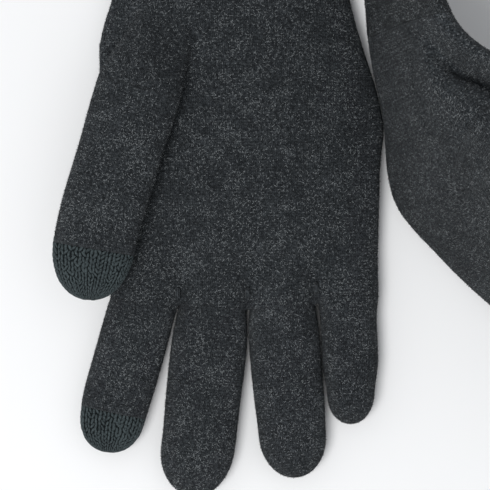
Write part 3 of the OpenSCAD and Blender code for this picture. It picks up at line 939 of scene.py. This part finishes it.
def makeCuff(side):
    plan = cuffPlan
    around = plan["around"]
    rows = np.linspace(edgeB + plan["pastEdge"], wristB - plan["tuck"], plan["rows"])
    insets = plan["inset"] + plan["tuckIn"] * smooth((wristB + plan["tuckFrom"] - rows) / plan["tuckOver"])
    rings = [cuffRing(b, inset, around) for b, inset in zip(rows, insets)]
    local = np.concatenate(rings)
    world = place(side, local)
    tube = skin(f"{side}CuffTube", list(world.reshape(len(rows), around, 3)), closed=False)
    centre = np.repeat(world.reshape(len(rows), around, 3).mean(1), around, 0)
    tube.data.update()
    if ((world - centre) * normalsOf(tube)).sum() < 0:
        tube.data.flip_normals()
    pointValues(tube, "turnShare", np.tile(np.arange(around) / around, len(rows)))
    ribShare = smooth((rows - wristB - plan["ribsFrom"]) / plan["ribsGrow"])
    pointValues(tube, "ribShare", np.repeat(ribShare, around))
    knitMap(tube, backAndForth(around, len(rows)) * plan["ribs"] * 2,
            np.repeat(rows, around) / knit["course"])
    ribbed = grown(tube, ribTree, {"Ribs": plan["ribs"], "Depth": plan["ribDepth"] * mm,
                                   "Material": materials["ribKnit"]}, f"{side}CuffRibs")
    dropped(tube)
    fade = fuzzPlan["seamFade"]
    brushed = mix(1, plan["ribFuzz"], ribShare) * smooth((rows - wristB + fade) / fade)
    pointValues(ribbed, "fuzz", offFloor(coords(ribbed)) * np.repeat(brushed, around))
    fuzz = fuzzOn(ribbed, f"{side}CuffFuzz")
    ribbed = applied(ribbed, "SOLIDIFY", thickness=plan["wall"] * mm, offset=-1)
    finish(ribbed, "ribKnit", "rib_knit", f"{side}_cuff")
    for thing in (ribbed, fuzz):
        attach(thing, f"{side}_glove")


def sweptBand(name, side, b0, b1, plan):  # a rounded band round the cuff
    around, rim, thick, corner = plan["around"], plan["rim"], plan["thick"], 0.75
    rows = []
    for angle in np.linspace(0, 2 * math.pi, rim, endpoint=False):
        b = (b0 + b1) / 2 + (b1 - b0) / 2 * power(math.cos(angle), corner)
        depth = plan["inset"] + thick / 2 - thick / 2 * power(math.sin(angle), corner)
        rows.append(cuffRing(b, depth, around))
    points = place(side, np.concatenate(rows))
    faces = [(j * around + i, j * around + (i + 1) % around,
              ((j + 1) % rim) * around + (i + 1) % around, ((j + 1) % rim) * around + i)
             for j in range(rim) for i in range(around)]
    band = meshFrom(name, points, faces)
    pointedOut(band)
    knitMap(band, backAndForth(around, rim) * knit["bandWales"], np.repeat(np.arange(rim), around) / 3)
    return band


def makeEdge(side):
    plan = {"inset": 0.2, "thick": 2.2, "around": 200, "rim": 14,
            "stitches": 118, "rowIn": 1.0, "stitchFit": (1.55, 1.5, 1.2)}
    band = sweptBand(f"{side}CuffEdge", side, edgeB, mouthB, plan)
    finish(band, "ribKnit", "rib_knit", f"{side}_cuff_edge")
    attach(band, f"{side}_glove")
    seats, up, along = [], [], []
    for b in (edgeB + plan["rowIn"], mouthB - plan["rowIn"]):
        ring = place(side, cuffRing(b, plan["inset"], plan["stitches"]))
        ahead = place(side, cuffRing(b - 1, plan["inset"], plan["stitches"])) - ring
        out = ring - ring.mean(0)
        across = np.roll(ring, -1, 0) - np.roll(ring, 1, 0)
        normal = np.cross(across, ahead)
        normal *= np.sign((normal * out).sum(1, keepdims=True))
        seats.append(ring)
        up.append(normal / np.linalg.norm(normal, axis=1, keepdims=True))
        along.append(ahead / np.linalg.norm(ahead, axis=1, keepdims=True))
    seats, up, along = map(np.concatenate, (seats, up, along))
    fit = np.tile(np.array(plan["stitchFit"]) * mm, (len(seats), 1))
    stitches = seated(f"{side}CuffEdgeStitches", seats, up, along, fit, materials["ribKnit"])
    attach(stitches, f"{side}_glove")


def makeElastic(side):
    low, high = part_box("right_cuff_elastic")
    plan = {"inset": 2.2, "thick": 0.8, "around": 160, "rim": 10}
    band = sweptBand(f"{side}CuffElastic", side, low.y / mm, high.y / mm, plan)
    finish(band, "elasticYarn", "elastic_yarn", f"{side}_cuff_elastic")
    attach(band, f"{side}_glove")


def makeLabel(side):  # a blank tape folded in half, its fold towards the hand
    low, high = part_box("right_care_label")
    b0, b1 = low.y / mm, high.y / mm
    plan = {"tape": 0.22, "gape": 0.45, "curl": 0.1, "lift": 0.12, "foldRoom": 0.4, "foldDepth": 0.3,
            "rows": 24, "foldRows": 9, "columns": 16, "weave": (0.4, 0.6)}
    under = low.z / mm + plan["lift"]
    leaf = [(b1 - (b1 - b0 - plan["foldRoom"]) * t, under + plan["curl"] * t * t)
            for t in np.linspace(0, 1, plan["rows"])]
    fold = [(b0 + plan["foldRoom"] - plan["foldDepth"] * math.cos(q),
             under + plan["curl"] + plan["gape"] / 2 * (1 + math.sin(q)))
            for q in np.linspace(-math.pi / 2, math.pi / 2, plan["foldRows"])[1:-1]]
    path = leaf + fold + [(b, c + plan["gape"]) for b, c in reversed(leaf)]
    wide = plan["columns"]
    points = np.array([(a, b, c) for b, c in path for a in np.linspace(-high.x / mm, -low.x / mm, wide)])
    faces = [(j * wide + i, j * wide + i + 1, (j + 1) * wide + i + 1, (j + 1) * wide + i)
             for j in range(len(path) - 1) for i in range(wide - 1)]
    tape = meshFrom(f"{side}CareLabel", place(side, points), faces)
    knitMap(tape, points[:, 0] / plan["weave"][0], np.repeat(np.arange(len(path)), wide) / plan["weave"][1])
    tape = applied(tape, "SOLIDIFY", thickness=plan["tape"] * mm, offset=0)
    finish(tape, "labelTape", "label_tape", f"{side}_care_label")
    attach(tape, f"{side}_glove")


for side in ("right", "left"):
    makeHand(side)
    print(side, "hand")
    makeBridges(side)
    for finger in fingers:
        makeStall(side, finger)
        if fingers[finger]["tipLength"]:
            makeTouchTip(side, finger)
    print(side, "stalls")
    makeCuff(side)
    makeEdge(side)
    makeElastic(side)
    makeLabel(side)
    print(side, "cuff")
dropped(strand)
dropped(stitch)


studio = {"floorSize": 6.0, "floorTone": 0.86, "lightSize": 0.7, "lightHeight": 1.3, "lightPower": 12.5,
          "lightOffset": (-0.35, -0.4), "worldStrength": 0.6, "fillTone": (0.95, 0.97, 1.0)}


def makeFloor():
    half = studio["floorSize"] / 2
    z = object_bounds()[0].z - 0.0001
    floor = meshFrom("floor", [(-half, -half, z), (half, -half, z), (half, half, z), (-half, half, z)],
                     [(0, 1, 2, 3)])
    material = bpy.data.materials.new("paleFloor")
    material.use_nodes = True
    surface = material.node_tree.nodes["Principled BSDF"]
    tone = studio["floorTone"]
    surface.inputs["Base Color"].default_value = (tone, tone, tone, 1)
    surface.inputs["Roughness"].default_value = 0.9
    floor.data.materials.append(material)


def makeLight():
    lamp = bpy.data.lights.new("softLight", "AREA")
    lamp.shape = "DISK"
    lamp.size = studio["lightSize"]
    lamp.energy = studio["lightPower"]
    thing = bpy.data.objects.new("softLight", lamp)
    x, y = studio["lightOffset"]
    thing.location = (x, y, studio["lightHeight"])
    thing.rotation_euler = (Vector((0, 0, 0)) - thing.location).to_track_quat("-Z", "Y").to_euler()
    bpy.context.scene.collection.objects.link(thing)
    world = bpy.data.worlds.new("paleRoom")
    bpy.context.scene.world = world
    world.use_nodes = True
    sky = world.node_tree.nodes["Background"]
    sky.inputs["Color"].default_value = (*studio["fillTone"], 1)
    sky.inputs["Strength"].default_value = studio["worldStrength"]


def makeCamera():
    plan = {"height": 1.0, "lens": 196.6, "ahead": 0.0234}
    camera = bpy.data.cameras.new("camera")
    camera.lens = plan["lens"]
    thing = bpy.data.objects.new("camera", camera)
    thing.location = (0, rootB * mm + plan["ahead"], plan["height"])
    bpy.context.scene.collection.objects.link(thing)
    bpy.context.scene.camera = thing


makeFloor()
makeLight()
makeCamera()
bpy.context.scene.view_settings.view_transform = "Standard"  # keeps the floor pale and the cloth's tones
print("studio ready")
